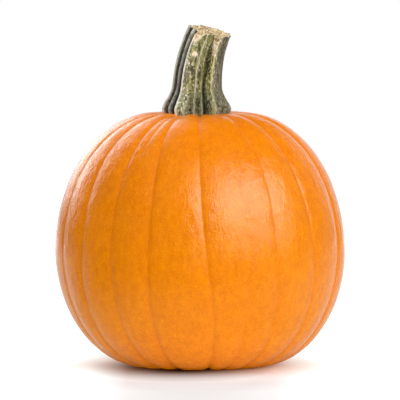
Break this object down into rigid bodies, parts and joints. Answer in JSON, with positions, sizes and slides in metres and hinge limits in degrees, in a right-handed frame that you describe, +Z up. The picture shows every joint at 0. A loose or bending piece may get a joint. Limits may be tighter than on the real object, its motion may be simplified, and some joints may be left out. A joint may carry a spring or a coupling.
{
  "type": "pumpkin",
  "caption": "Orange carving pumpkin: a ribbed, slightly flattened round fruit on its blossom end, with a thick ridged green stem that leans and is cut off at a slant.",
  "frame": {"origin": "middle of the whole object's box in X and Y, at the height of the surface it stands on", "axes": "+Z up the fruit from blossom end to stem, -Y towards the side with the stem leaning to the viewer's right, which is +X"},
  "size_m": [0.2604, 0.2604, 0.3063],
  "materials": {
    "rind": "waxy satin rind, orange with fine paler specks",
    "stem_skin": "matt, grey-green and olive with pale ridge lines, tan where it is cut"
  },
  "bodies": {
    "root": {"fruit": "rind", "stem": "stem_skin"}
  },
  "joints": []
}
